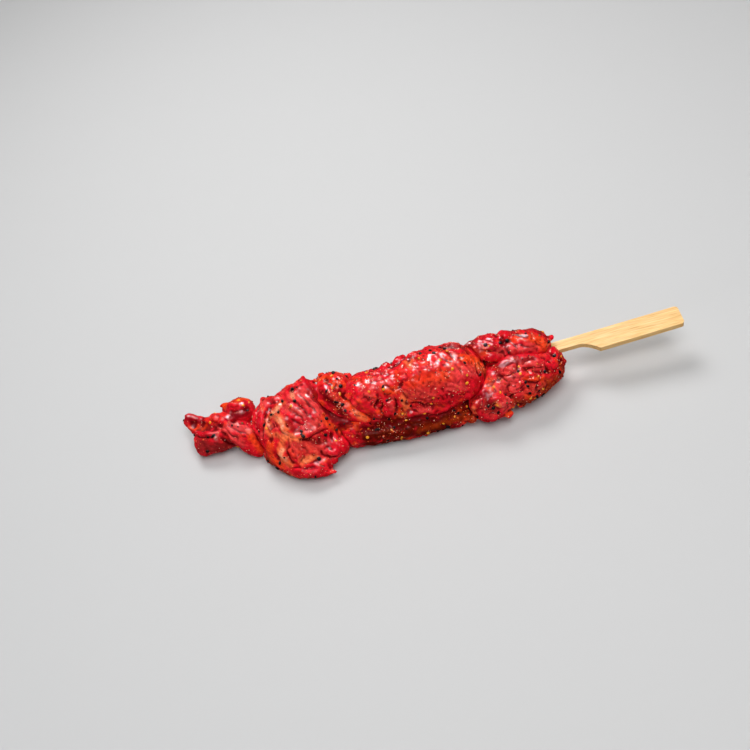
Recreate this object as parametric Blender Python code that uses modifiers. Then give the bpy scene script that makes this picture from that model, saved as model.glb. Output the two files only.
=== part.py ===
"""A beef kebab: raw marinated meat, cut and folded into seven pieces, pushed along a flat bamboo skewer.

The pieces are modelled where they lie. Lengths below are in millimetres. X runs along the skewer towards its
grip, Y across it, and Z up from the surface that the kebab lies on. The last step moves everything so that the
origin is at the bottom centre of the whole.
"""

import math

import bmesh
import bpy
import numpy as np
from mathutils import Euler, Matrix, Vector
from mathutils.bvhtree import BVHTree

MM = 0.001

# Bamboo skewer: a flat stick with a point, which widens on one side only into a grip.
SKEWER_LENGTH = 210.0
SKEWER_END = 114.5  # where the grip ends, along X
STICK_WIDTH = 5.0
GRIP_WIDTH = 10.2
GRIP_LENGTH = 38.0
SHOULDER_LENGTH = 8.0
POINT_LENGTH = 9.0
POINT_WIDTH = 1.2
GRIP_CORNER = 1.6
BAMBOO_THICK = 2.6
EXIT_ALONG = 57.0  # where the stick leaves the meat
EXIT_SIDE = 0.5
EXIT_HEIGHT = 16.2
SKEWER_SLOPE = 0.057  # it climbs towards the grip
BOW_MIDDLE = -56.0  # where the stick's sideways bow runs straight along X
BOW = 0.000256  # its curvature, per millimetre

# Meat
GAP = 0.3  # between pieces, and between meat and bamboo
VOXEL = 0.85
SOFTEN = 5
FACES_KEPT = 0.078  # share of the faces left after simplifying a melted piece
STRAND_STEP = 0.35  # spacing of a strand's balls, as a share of their radius
GROUND_DEPTH = 60.0

meat_collection = None
cutter_collection = None


def clear_scene():
    for obj in list(bpy.data.objects):
        bpy.data.objects.remove(obj, do_unlink=True)


def new_collection(name):
    collection = bpy.data.collections.new(name)
    bpy.context.scene.collection.children.link(collection)
    return collection


def principled(name, colour, roughness, coat=0.0, subsurface=0.0):
    material = bpy.data.materials.new(name)
    material.use_nodes = True
    shader = material.node_tree.nodes["Principled BSDF"]
    shader.inputs["Base Color"].default_value = (*colour, 1.0)
    shader.inputs["Roughness"].default_value = roughness
    shader.inputs["Metallic"].default_value = 0.0
    shader.inputs["Coat Weight"].default_value = coat
    shader.inputs["Subsurface Weight"].default_value = subsurface
    return material


def make_cutter(obj):
    obj.hide_render = True
    obj.display_type = "WIRE"
    return obj


# ---------------------------------------------------------------------------- bamboo


def stick_side(along):
    """Sideways place of the stick's middle line, which bows a little."""
    def bowed(x):
        return 0.5 * BOW * (x - BOW_MIDDLE) ** 2
    return EXIT_SIDE + bowed(along) - bowed(EXIT_ALONG)


def stick_height(along):
    return EXIT_HEIGHT + SKEWER_SLOPE * (along - EXIT_ALONG)


def blade_widths(along):
    """Distances from the middle line to the straight edge and to the edge with the shoulder."""
    tip = SKEWER_END - SKEWER_LENGTH
    half = STICK_WIDTH / 2
    shoulder_end = SKEWER_END - GRIP_LENGTH
    if along < tip + POINT_LENGTH:
        half = POINT_WIDTH / 2 + (half - POINT_WIDTH / 2) * (along - tip) / POINT_LENGTH
        return half, half
    if along < shoulder_end - SHOULDER_LENGTH:
        return half, half
    if along < shoulder_end:
        share = (along - shoulder_end + SHOULDER_LENGTH) / SHOULDER_LENGTH
        return half, half + (GRIP_WIDTH - STICK_WIDTH) * share**1.6
    return half, GRIP_WIDTH - half


def blade_outline(grow):
    """Corners of the flat outline, round by the straight edge and back by the shouldered one."""
    tip = SKEWER_END - SKEWER_LENGTH
    shoulder_end = SKEWER_END - GRIP_LENGTH
    stations = [tip, tip + POINT_LENGTH]
    stations += [tip + POINT_LENGTH + step * 18.0 for step in range(1, 9)]
    stations += [shoulder_end - SHOULDER_LENGTH * (1 - step / 6) for step in range(7)]
    stations += [shoulder_end + 12.0, shoulder_end + 24.0]
    straight, shouldered = [], []
    for along in sorted(stations):
        to_straight, to_shouldered = blade_widths(along)
        place = along - grow if along == tip else along
        straight.append((place, stick_side(along) + to_straight + grow))
        shouldered.append((place, stick_side(along) - to_shouldered - grow))
    end_side = stick_side(SKEWER_END)
    corners = []
    for corner_side, start in ((end_side + STICK_WIDTH / 2, 90), (end_side + STICK_WIDTH / 2 - GRIP_WIDTH, 0)):
        inward = -1 if start == 90 else 1
        centre = (SKEWER_END - GRIP_CORNER, corner_side + inward * GRIP_CORNER)
        for step in range(6):
            turn = math.radians(start - 18 * step)
            corners.append((centre[0] + (GRIP_CORNER + grow) * math.cos(turn),
                            centre[1] + (GRIP_CORNER + grow) * math.sin(turn)))
    return straight + corners + shouldered[::-1]


def blade(name, grow, collection):
    """The flat skewer as an extruded outline, tilted to its slope and made a mesh."""
    curve = bpy.data.curves.new(name, "CURVE")
    curve.dimensions = "2D"
    curve.fill_mode = "BOTH"
    curve.extrude = (BAMBOO_THICK / 2 + grow) * MM
    spline = curve.splines.new("POLY")
    outline = blade_outline(grow)
    spline.points.add(len(outline) - 1)
    for point, (along, side) in zip(spline.points, outline):
        point.co = ((along - EXIT_ALONG) * MM, side * MM, 0.0, 1.0)
    spline.use_cyclic_u = True
    flat = bpy.data.objects.new(name + "_outline", curve)
    flat.location = (EXIT_ALONG * MM, 0.0, EXIT_HEIGHT * MM)
    flat.rotation_euler = (0.0, -math.atan(SKEWER_SLOPE), 0.0)
    collection.objects.link(flat)
    bpy.context.view_layer.update()
    evaluated = flat.evaluated_get(bpy.context.evaluated_depsgraph_get())
    mesh = bpy.data.meshes.new_from_object(evaluated)
    mesh.transform(flat.matrix_world)
    mesh.name = name
    bpy.data.objects.remove(flat, do_unlink=True)
    solid = bmesh.new()
    solid.from_mesh(mesh)
    bmesh.ops.remove_doubles(solid, verts=solid.verts, dist=0.01 * MM)
    bmesh.ops.recalc_face_normals(solid, faces=solid.faces)
    solid.to_mesh(mesh)
    solid.free()
    obj = bpy.data.objects.new(name, mesh)
    collection.objects.link(obj)
    return obj


# ---------------------------------------------------------------------------- meat


def lobe(shape, at, half, yaw=0.0, pitch=0.0, roll=0.0):
    """A rounded lump: half its length, width and height, turned by degrees about Z, then Y, then X."""
    turn = Euler([math.radians(a) for a in (roll, pitch, yaw)], "XYZ").to_matrix().to_4x4()
    matrix = Matrix.Translation(Vector(at)) @ turn @ Matrix.Diagonal((*half, 1.0))
    bmesh.ops.create_uvsphere(shape, u_segments=20, v_segments=12, radius=1.0, matrix=matrix)


def smooth_line(places, sizes, spacing):
    """Points and sizes along a smooth curve through the places, closer together where the sizes are small."""
    places = [Vector(p) for p in places]
    last_span = len(places) - 2
    for span in range(last_span + 1):
        before = places[max(span - 1, 0)]
        first, second = places[span], places[span + 1]
        after = places[min(span + 2, last_span + 1)]
        steps = max(2, math.ceil((second - first).length / (spacing * min(sizes[span], sizes[span + 1]))))
        for step in range(steps + (span == last_span)):
            t = step / steps
            yield (0.5 * (2 * first + (second - before) * t
                          + (2 * before - 5 * first + 4 * second - after) * t**2
                          + (3 * first - before - 3 * second + after) * t**3),
                   sizes[span] + (sizes[span + 1] - sizes[span]) * t)


def ball(shape, centre, radius):
    matrix = Matrix.Translation(centre)
    bmesh.ops.create_uvsphere(shape, u_segments=12, v_segments=8, radius=radius, matrix=matrix)


def strand(shape, places, radii):
    """A strip that follows a smooth line through its places, as a close row of balls."""
    for centre, radius in smooth_line(places, radii, STRAND_STEP):
        ball(shape, centre, radius)


def on_skin(skin, places, radii, sink):
    """A row of balls along the skin nearest to a smooth line. Their middles lie sink above it, or below if minus."""
    shape = bmesh.new()
    for centre, radius in smooth_line(places, radii, STRAND_STEP):
        spot, normal, _, _ = skin.find_nearest(centre)
        ball(shape, spot + normal * sink * radius, radius)
    return shape


def mesh_of(name, shape):
    """A mesh from a bmesh in millimetres."""
    mesh = bpy.data.meshes.new(name)
    bmesh.ops.scale(shape, vec=(MM, MM, MM), verts=shape.verts)
    shape.to_mesh(mesh)
    shape.free()
    return mesh


def evaluated_mesh(obj):
    bpy.context.view_layer.update()
    return bpy.data.meshes.new_from_object(obj.evaluated_get(bpy.context.evaluated_depsgraph_get()))


def voxel_remesh(obj, name):
    remesh = obj.modifiers.new(name, "REMESH")
    remesh.mode = "VOXEL"
    remesh.voxel_size = VOXEL * MM


def carve(obj, name, places, radii):
    """Cuts a crease into a piece's skin: half a ball deep at its middle."""
    skin = BVHTree.FromPolygons([v.co / MM for v in obj.data.vertices], [p.vertices[:] for p in obj.data.polygons])
    groove = bpy.data.objects.new(name, mesh_of(name, on_skin(skin, places, radii, 0.1)))
    cutter_collection.objects.link(groove)
    voxel_remesh(groove, "melt")
    groove.data = evaluated_mesh(groove)
    groove.modifiers.clear()
    cut(obj, make_cutter(groove))


def fused(name, shape, creases=()):
    """Melts a piece's lumps and strands into one closed skin, cuts its creases, and thins out the faces."""
    obj = bpy.data.objects.new(name, mesh_of(name, shape))
    meat_collection.objects.link(obj)
    voxel_remesh(obj, "melt")
    obj.data = evaluated_mesh(obj)
    obj.modifiers.clear()
    for index, (places, radii) in enumerate(creases):
        carve(obj, f"{name}_crease_{index}", places, radii)
    voxel_remesh(obj, "melt_again")
    smooth = obj.modifiers.new("soften", "SMOOTH")
    smooth.factor = 0.5
    smooth.iterations = SOFTEN
    decimate = obj.modifiers.new("simplify", "DECIMATE")
    decimate.ratio = FACES_KEPT
    obj.data = evaluated_mesh(obj)
    obj.modifiers.clear()
    return obj


def grown_copy(obj, grow):
    """A cutter in the shape of a piece, larger by the gap."""
    mesh = obj.data.copy()
    normals = [v.normal.copy() for v in mesh.vertices]
    for vertex, normal in zip(mesh.vertices, normals):
        vertex.co += normal * grow * MM
    cutter = bpy.data.objects.new(obj.name + "_room", mesh)
    cutter_collection.objects.link(cutter)
    return make_cutter(cutter)


def cut(obj, cutter):
    boolean = obj.modifiers.new("less_" + cutter.name, "BOOLEAN")
    boolean.operation = "DIFFERENCE"
    boolean.solver = "EXACT"
    boolean.object = cutter


def tail_piece():
    """The loose end past the skewer's point: a ragged offcut with a hollow top, whose far corner curls up."""
    shape = bmesh.new()
    lobe(shape, (-102, 2, 7), (11, 9, 7.5), yaw=-10)
    lobe(shape, (-107.5, 1.5, 5.5), (6, 8, 6), yaw=-20)
    strand(shape, [(-104, 6, 8.5), (-109.5, 8.5, 8.5), (-114, 12.5, 11.5)], [6, 5, 2.6])
    lobe(shape, (-97.5, 5, 13), (5, 4.5, 4))
    strand(shape, [(-94, 4, 10), (-88, -3, 7), (-83.5, -9.5, 3.8)], [8, 6.8, 3.2])
    return fused("tail_piece", shape, [
        ([(-113, 7, 12), (-106, 3, 14), (-99, 1, 15)], [2, 3.4, 2]),
        ([(-98.5, 0, 15), (-96, -6, 9), (-94, -9, 3)], [1.4, 2.4, 2.4]),
    ])


def chip_piece():
    """A small chunk behind the stick, between the tail and the slab."""
    shape = bmesh.new()
    lobe(shape, (-88.5, 8, 13), (7.5, 7, 6), yaw=10)
    strand(shape, [(-90, 9, 13), (-95.5, 12, 12)], [5, 2.4])
    return fused("chip_piece", shape, [([(-93, 6, 18), (-87, 5, 19), (-82, 6, 17)], [1.2, 1.6, 1.4])])


def slab_piece():
    """The broadest piece: a thick slice that slopes from behind the stick to the front, edges folded on its left."""
    shape = bmesh.new()
    lobe(shape, (-62, -9, 12.5), (18.5, 20, 9.5), roll=28)
    lobe(shape, (-60, 2.5, 18.5), (13, 8.5, 8), pitch=-12)
    lobe(shape, (-56, 5.5, 22), (5, 5, 5))
    lobe(shape, (-74, -3, 12), (8.5, 14, 10), roll=20)
    strand(shape, [(-75, -15, 6), (-65, -23.5, 5), (-55, -26, 4.5)], [6, 6, 5])
    strand(shape, [(-48, -8, 14), (-37, -15, 12.5)], [5, 2.4])
    lobe(shape, (-47, -19, 8), (6, 6, 5))
    return fused("slab_piece", shape, [
        ([(-77, 8, 20), (-80, -1, 18), (-81, -11, 11)], [1.6, 2.4, 1.6]),
        ([(-72, 6, 24), (-74, -5, 22), (-75, -15, 16)], [1.3, 1.8, 1.3]),
        ([(-60, -18, 18), (-52, -20, 15), (-44, -15.5, 15)], [1.5, 2.2, 1.8]),
    ])


def strip_piece():
    """A strip laid over the stick from behind, its lower end between the slab and the long piece."""
    shape = bmesh.new()
    lobe(shape, (-43.5, 2, 19), (9, 10, 9))
    strand(shape, [(-46, 0, 18), (-38, -7, 16), (-30, -13, 12)], [8, 6, 3.6])
    lobe(shape, (-42, 2, 9), (8, 8, 8))
    return fused("strip_piece", shape, [([(-47, 6, 29), (-42, -1, 28), (-36, -6, 23)], [1.5, 2.2, 1.4])])


def long_piece():
    """The largest piece, a slice rolled over itself: the glossy upper roll overhangs the layer below it."""
    shape = bmesh.new()
    strand(shape, [(-31, -1.5, 15.5), (-16, -2, 16), (3, -1.5, 17.2), (12, -2, 16.5)], [11.5, 12.2, 15.2, 14.4])
    strand(shape, [(-38, -12, 7.5), (-15, -12.8, 7), (8, -12.5, 7)], [8.8, 9.3, 9])
    return fused("long_piece", shape, [
        ([(-34, -18, 14), (-15, -19, 12.5), (4, -19, 12), (20, -14, 12)], [2.4, 3.2, 3.2, 2.4]),
        ([(-31, -8, 26), (-25, -13, 21), (-23, -16, 15)], [1.4, 2.2, 1.6]),
        ([(15, 8, 28), (-3, 10, 28), (-18, 8, 24)], [1.4, 2.2, 1.6]),
    ])


def end_back_piece():
    """The upper half of the last chunk, two lobes that lie over the stick."""
    shape = bmesh.new()
    lobe(shape, (28.5, 3.5, 20.5), (12, 8, 8), yaw=-8)
    lobe(shape, (44.5, 3, 19), (12.5, 8.5, 8.5), yaw=-4)
    lobe(shape, (47.5, 8.5, 12), (8.5, 8, 7.5))
    return fused("end_back_piece", shape, [
        ([(37, -5, 24), (36, 1, 27), (38, 9, 26)], [2, 2, 1.6]),
        ([(57, 9, 19), (47, 12, 20), (36, 11, 20)], [1.4, 2, 1.4]),
    ])


def end_front_piece():
    """The lower, front half of the last chunk, coarse and creased."""
    shape = bmesh.new()
    lobe(shape, (39, -7, 12), (19, 13.2, 12), yaw=5)
    lobe(shape, (24, -12.5, 9), (10.5, 12, 9.5))
    lobe(shape, (53, -4.5, 11.5), (7.8, 9, 10))
    return fused("end_front_piece", shape, [
        ([(29, -8, 21), (32, -15, 17), (34, -19, 9)], [1.4, 2.2, 2]),
        ([(36, -8, 24), (46, -13, 21), (56, -12, 16)], [1.3, 2, 1.4]),
        ([(51, -2, 22), (57, -7, 18), (60, -8, 12)], [1.3, 2, 1.4]),
    ])


def ground_cutter():
    """Everything below the surface that the kebab lies on, so that its underside is flat where it rests."""
    mesh = bpy.data.meshes.new("ground")
    block = bmesh.new()
    bmesh.ops.create_cube(block, size=1.0)
    bmesh.ops.scale(block, vec=(400 * MM, 200 * MM, GROUND_DEPTH * MM), verts=block.verts)
    bmesh.ops.translate(block, vec=(0, 0, -GROUND_DEPTH / 2 * MM), verts=block.verts)
    block.to_mesh(mesh)
    block.free()
    obj = bpy.data.objects.new("ground", mesh)
    cutter_collection.objects.link(obj)
    return make_cutter(obj)


def stand_on_origin(objects):
    """Moves every mesh so that the bottom centre of them all is the origin."""
    corners = np.array([v.co for obj in objects for v in obj.data.vertices])
    low, high = corners.min(axis=0), corners.max(axis=0)
    shift = Matrix.Translation((-(low[0] + high[0]) / 2, -(low[1] + high[1]) / 2, -low[2]))
    for obj in objects:
        obj.data.transform(shift)


def main():
    global meat_collection, cutter_collection
    clear_scene()
    meat_collection = new_collection("beef_kebab_skewer")
    cutter_collection = new_collection("cutters")

    bamboo = blade("bamboo_skewer", 0.0, meat_collection)
    bamboo.data.materials.append(principled("bamboo", (0.86, 0.66, 0.36), 0.55))
    slot = make_cutter(blade("skewer_slot", GAP, cutter_collection))
    ground = ground_cutter()

    # Each piece gives way to those before it in this list.
    pieces = [slab_piece(), strip_piece(), long_piece(), end_back_piece(), end_front_piece(), chip_piece(), tail_piece()]
    rooms = [grown_copy(piece, GAP) for piece in pieces]
    beef = principled("marinated_beef", (0.42, 0.03, 0.02), 0.28, coat=0.5, subsurface=0.1)
    for index, piece in enumerate(pieces):
        piece.data.materials.append(beef)
        for room in rooms[:index]:
            cut(piece, room)
        cut(piece, slot)
        cut(piece, ground)
    finished = {piece: evaluated_mesh(piece) for piece in pieces}
    for piece, mesh in finished.items():
        piece.modifiers.clear()
        piece.data = mesh
    stand_on_origin([bamboo, *pieces])
    for obj in [bamboo, *pieces]:
        obj.data.shade_smooth()
        obj.data.set_sharp_from_angle(angle=math.radians(50))


main()
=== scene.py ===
"""Looks of the beef kebab skewer: marinated raw beef threaded on a flat bamboo skewer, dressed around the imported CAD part.

Lengths are in millimetres in part.py's own modelling frame, where the skewer's axis lies near y = 0 and the floor is z = 0. to_frame() turns them into the row frame's metres.
"""

import math

import bpy
import numpy as np
from mathutils import Matrix, Vector
from mathutils.bvhtree import BVHTree


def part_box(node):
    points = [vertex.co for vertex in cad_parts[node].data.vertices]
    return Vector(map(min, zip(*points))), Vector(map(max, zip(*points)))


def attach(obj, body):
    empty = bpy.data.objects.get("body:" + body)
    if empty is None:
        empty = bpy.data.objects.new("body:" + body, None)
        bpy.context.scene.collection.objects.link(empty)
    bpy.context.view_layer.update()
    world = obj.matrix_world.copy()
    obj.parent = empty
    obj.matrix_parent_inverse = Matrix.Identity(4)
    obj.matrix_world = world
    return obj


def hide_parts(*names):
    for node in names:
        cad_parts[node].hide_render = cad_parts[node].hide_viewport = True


MM = 0.001
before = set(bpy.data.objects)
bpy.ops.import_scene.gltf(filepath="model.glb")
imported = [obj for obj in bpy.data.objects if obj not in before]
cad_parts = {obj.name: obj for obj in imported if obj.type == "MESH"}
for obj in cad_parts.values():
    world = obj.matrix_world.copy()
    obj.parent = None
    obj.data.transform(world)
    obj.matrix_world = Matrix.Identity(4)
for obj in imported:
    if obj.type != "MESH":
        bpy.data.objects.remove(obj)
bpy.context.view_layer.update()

# The skewer's far corner in part.py's modelling frame ties the two frames together.
STICK_END_X, STICK_SIDE_Y = 114.48, 5.087
stick_low, stick_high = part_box("bamboo_skewer")
SHIFT = np.array(
    [stick_high.x / MM - STICK_END_X, stick_high.y / MM - STICK_SIDE_Y, 0.0]
)

# The eye, in the modelling frame, and the lens
EYE = np.array([-7.18, -234.59, 324.37])
CAMERA_AZIMUTH, CAMERA_PITCH, CAMERA_ROLL = -3.9, 51.65, -16.0
CAMERA_LENS, CAMERA_SENSOR = 41.13, 36.0

VOXEL = 0.34
FLOOR_CLEAR = 0.02
SEED = 20


def to_frame(points):
    return (np.asarray(points, float) + SHIFT) * MM


# ---------------------------------------------------------------- noise


_random = np.random.RandomState(SEED)
PERMUTATION = _random.permutation(256)
GRADIENTS = _random.normal(size=(256, 3))
GRADIENTS /= np.linalg.norm(GRADIENTS, axis=1)[:, None]


def noise(points, size, seed=0):
    """Gradient noise from about -1 to 1 whose features are about size mm across."""
    q = points / size + seed * 17.317
    cell = np.floor(q).astype(int)
    part = q - cell
    fade = part**3 * (part * (part * 6 - 15) + 10)
    total = np.zeros(len(q))
    for dx in (0, 1):
        for dy in (0, 1):
            for dz in (0, 1):
                corner = cell + (dx, dy, dz)
                index = PERMUTATION[corner[:, 0] & 255]
                index = PERMUTATION[(index + corner[:, 1]) & 255]
                index = PERMUTATION[(index + corner[:, 2]) & 255]
                value = (GRADIENTS[index] * (part - (dx, dy, dz))).sum(1)
                weight = np.ones(len(q))
                for axis, step in enumerate((dx, dy, dz)):
                    weight *= fade[:, axis] if step else 1 - fade[:, axis]
                total += weight * value
    return total * 1.7


def octaves(points, size, count, seed=0, gain=0.5):
    total, weight = np.zeros(len(points)), 1.0
    for k in range(count):
        total += weight * noise(points, size / 2**k, seed + 3 * k)
        weight *= gain
    return total


def warped(points, amount, size, seed=0):
    """The points pushed about by noise, so that what is drawn on them bends."""
    push = np.stack([noise(points, size, seed + k) for k in range(3)], axis=1)
    return points + amount * push


def stretched(points, along, ratio):
    """The points squeezed along a direction, so that noise on them runs in strands that way."""
    direction = np.array(along, float)
    direction /= np.linalg.norm(direction)
    run = points @ direction
    return points + np.outer(run / ratio - run, direction)


def ridged(values, width):
    """1 on the noise's zero lines, falling to 0 at width: a net of creases."""
    return np.exp(-((values / width) ** 2))


def smoothstep(low, high, x):
    t = np.clip((x - low) / (high - low), 0, 1)
    return t * t * (3 - 2 * t)


# ---------------------------------------------------------------- meshes as arrays


class Skin:
    """One piece of meat as arrays: points and normals in mm, quads and edges."""

    def __init__(self, name, voxel, extras=()):
        self.name = name
        self.co, self.quads = remeshed(name, voxel, extras)
        ends = np.concatenate(
            [self.quads[:, [k, (k + 1) % 4]] for k in range(4)]
        )
        self.edges = np.unique(np.sort(ends, axis=1), axis=0)
        n = len(self.co)
        self.degree = np.bincount(self.edges.ravel(), minlength=n).astype(float)
        self.update()

    def update(self):
        p = self.co[self.quads]
        face = np.cross(p[:, 2] - p[:, 0], p[:, 3] - p[:, 1])
        self.face_normal = face
        n = len(self.co)
        total = np.zeros((n, 3))
        for k in range(4):
            for axis in range(3):
                total[:, axis] += np.bincount(
                    self.quads[:, k], weights=face[:, axis], minlength=n
                )
        self.normal = total / np.maximum(
            np.linalg.norm(total, axis=1)[:, None], 1e-12
        )

    def mean(self, values):
        """Each point's average over its neighbours."""
        a, b = self.edges.T
        n = len(self.co)
        if values.ndim == 1:
            got = np.bincount(a, weights=values[b], minlength=n)
            got += np.bincount(b, weights=values[a], minlength=n)
            return got / self.degree
        return np.stack(
            [self.mean(values[:, k]) for k in range(values.shape[1])], axis=1
        )

    def smooth(self, values, times, share=0.6):
        for _ in range(times):
            values = values + share * (self.mean(values) - values)
        return values

    def relax(self, times):
        """Taubin smoothing: takes the facets off and keeps the volume."""
        for _ in range(times):
            self.co = self.co + 0.6 * (self.mean(self.co) - self.co)
            self.co = self.co - 0.62 * (self.mean(self.co) - self.co)
        self.update()

    def push(self, height):
        """Moves each point along its normal by height mm."""
        self.co = self.co + self.normal * height[:, None]
        self.update()

    def tree(self):
        return BVHTree.FromPolygons(self.co.tolist(), self.quads.tolist())


def node_arrays(name):
    """A CAD node's welded points in mm, and its triangles."""
    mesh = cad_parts[name].data
    co = np.zeros(len(mesh.vertices) * 3, np.float32)
    mesh.vertices.foreach_get("co", co)
    mesh.calc_loop_triangles()
    faces = np.zeros(len(mesh.loop_triangles) * 3, np.int32)
    mesh.loop_triangles.foreach_get("vertices", faces)
    co = co.reshape(-1, 3).astype(float) / MM - SHIFT
    _, first, index = np.unique(
        np.round(co, 4), axis=0, return_index=True, return_inverse=True
    )
    return co[first], index.reshape(-1)[faces.reshape(-1, 3)]


def ball(centre, radii, axis, roll=0.0):
    """A lobe: an ellipsoid whose first radius lies along axis, with roll in degrees about it. Points and triangles."""
    rings, steps = 14, 22
    theta = np.linspace(0, math.pi, rings + 1)[1:-1]
    phi = np.linspace(0, 2 * math.pi, steps, endpoint=False)
    co = [(1.0, 0.0, 0.0)]
    for t in theta:
        for p in phi:
            co.append(
                (math.cos(t), math.sin(t) * math.cos(p), math.sin(t) * math.sin(p))
            )
    co.append((-1.0, 0.0, 0.0))
    last = len(co) - 1
    faces = []
    for k in range(steps):
        m = (k + 1) % steps
        faces.append((0, 1 + k, 1 + m))
        for r in range(rings - 2):
            a, b = 1 + r * steps, 1 + (r + 1) * steps
            faces += [(a + k, b + k, b + m), (a + k, b + m, a + m)]
        end = 1 + (rings - 2) * steps
        faces.append((last, end + m, end + k))
    first = Vector(axis).normalized()
    side = first.cross(Vector((0, 0, 1)))
    side = side.normalized() if side.length > 1e-3 else Vector((0, 1, 0))
    side.rotate(Matrix.Rotation(math.radians(roll), 3, first))
    third = first.cross(side)
    turn = np.array([first, side, third])
    return (np.array(co) * radii) @ turn + np.array(centre), np.array(faces)


def joined(parts):
    """Several (points, faces) as one."""
    points, faces, base = [], [], 0
    for co, tri in parts:
        points.append(co)
        faces.append(tri + base)
        base += len(co)
    return np.concatenate(points), np.concatenate(faces)


def new_mesh(name, co, faces):
    """A mesh from points in metres and faces that all have the same number of corners."""
    mesh = bpy.data.meshes.new(name)
    corners = faces.shape[1]
    mesh.vertices.add(len(co))
    mesh.vertices.foreach_set("co", np.ascontiguousarray(co, np.float32).ravel())
    mesh.loops.add(faces.size)
    mesh.loops.foreach_set("vertex_index", faces.astype(np.int32).ravel())
    mesh.polygons.add(len(faces))
    mesh.polygons.foreach_set(
        "loop_start", np.arange(0, faces.size, corners, dtype=np.int32)
    )
    mesh.polygons.foreach_set("use_smooth", np.ones(len(faces), bool))
    mesh.update(calc_edges=True)
    mesh.validate()
    return mesh


def remeshed(name, voxel, extras):
    """The CAD node and the extra lobes fused by a voxel remesh: points in mm and quads."""
    body = node_arrays(name)
    tree = BVHTree.FromPolygons(body[0].tolist(), body[1].tolist())
    lobes = [
        ball(on_edge(tree, spot, 0.7 * min(radii)), radii, axis)
        for spot, radii, axis in extras
    ]
    co, faces = joined([body, *lobes])
    mesh = new_mesh("raw_" + name, to_frame(co), faces)
    obj = bpy.data.objects.new("raw_" + name, mesh)
    bpy.context.scene.collection.objects.link(obj)
    modifier = obj.modifiers.new("fuse", "REMESH")
    modifier.mode = "VOXEL"
    modifier.voxel_size = voxel * MM
    modifier.adaptivity = 0
    graph = bpy.context.evaluated_depsgraph_get()
    made = obj.evaluated_get(graph).to_mesh()
    points = np.zeros(len(made.vertices) * 3, np.float32)
    made.vertices.foreach_get("co", points)
    corners = np.zeros(len(made.loops), np.int32)
    made.loops.foreach_get("vertex_index", corners)
    obj.evaluated_get(graph).to_mesh_clear()
    bpy.data.objects.remove(obj)
    bpy.data.meshes.remove(mesh)
    return points.reshape(-1, 3).astype(float) / MM - SHIFT, corners.reshape(-1, 4)


# ---------------------------------------------------------------- strokes on the skin


def smooth_line(points, step=0.6):
    """A Catmull-Rom line through the points, with a point about every step mm."""
    p = np.array(points, float)
    if len(p) < 2:
        return p
    p = np.vstack([2 * p[0] - p[1], p, 2 * p[-1] - p[-2]])
    made = []
    for k in range(1, len(p) - 2):
        count = max(2, int(np.linalg.norm(p[k + 1] - p[k]) / step))
        for t in np.arange(count) / count:
            made.append(
                0.5
                * (
                    2 * p[k]
                    + (p[k + 1] - p[k - 1]) * t
                    + (2 * p[k - 1] - 5 * p[k] + 4 * p[k + 1] - p[k + 2]) * t * t
                    + (3 * p[k] - p[k - 1] - 3 * p[k + 1] + p[k + 2]) * t**3
                )
            )
    made.append(p[-2])
    return np.array(made)


def sight(x, y):
    """The eye's ray over the board's point (x, y)."""
    aim = Vector((x, y, 0)) - Vector(EYE)
    return aim.normalized()


def seen(tree, x, y):
    """The point on the eye's ray over (x, y) that lies on the skin, or nearest to it."""
    aim = sight(x, y)
    hit = tree.ray_cast(Vector(EYE), aim)[0]
    if hit is None:
        places = [Vector(EYE) + aim * far for far in np.linspace(300, 460, 100)]
        hit = min(places, key=lambda place: tree.find_nearest(place)[3])
    return hit


def on_edge(tree, spot, stand_off):
    """The skin's point nearest to what is seen at the spot, moved out towards it by stand_off mm at most."""
    aim = seen(tree, *spot)
    skin_point = tree.find_nearest(aim)[0]
    out = aim - skin_point
    if out.length > stand_off:
        out *= stand_off / out.length
    return skin_point + out


def laid(tree, points):
    """A line drawn on the board, carried up on to the skin where someone at the eye sees it. Each point is (x, y) in mm on the board's plane."""
    found = [tree.find_nearest(seen(tree, x, y))[0] for x, y in smooth_line(points)]
    return np.array([tuple(place) for place in found])


def near_line(co, line, reach):
    """The points within reach of the line: their indices, their distances and the nearest line points."""
    low, high = line.min(0) - reach, line.max(0) + reach
    index = np.flatnonzero(((co > low) & (co < high)).all(1))
    if not len(index):
        return index, np.zeros(0), np.zeros(0, int)
    p = co[index]
    best = np.full(len(p), 1e9)
    which = np.zeros(len(p), int)
    for k in range(len(line)):
        far = ((p - line[k]) ** 2).sum(1)
        closer = far < best
        best[closer] = far[closer]
        which[closer] = k
    distance = np.sqrt(best)
    keep = distance < reach
    return index[keep], distance[keep], which[keep]


def tapered(which, count, ends):
    """1 along a line and 0 at its ends, where ends says so."""
    if count < 3:
        return np.ones(len(which))
    t = which / (count - 1)
    return np.minimum(1, np.minimum(t, 1 - t) / ends) if ends else np.ones(len(which))


def profile(kind, t):
    """How high a stroke stands, t being the distance from its line in half widths, or the signed one for a lip."""
    if kind == "crease":
        return 0.22 * np.exp(-(((t - 1.5) / 0.5) ** 2)) - np.maximum(0, 1 - t) ** 1.4
    if kind == "dent":
        return -np.exp(-(t**2))
    if kind == "swell":
        return np.exp(-(t**2))
    if kind == "strand":
        dome = np.sqrt(np.maximum(0, 1 - t**2))
        return np.where(t < 1, dome, -0.35 * np.exp(-(((t - 1.15) / 0.3) ** 2)))
    raised = np.exp(-(((t - 0.6) / 0.85) ** 2))
    return np.where(t > 0, raised, -0.7 * np.exp(-(((t + 0.3) / 0.55) ** 2)))


# How much each kind of stroke is deepened
DEPTH = {"crease": 1.3, "dent": 1.2, "strand": 0.9, "lip": 1.1, "swell": 1.0}


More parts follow.
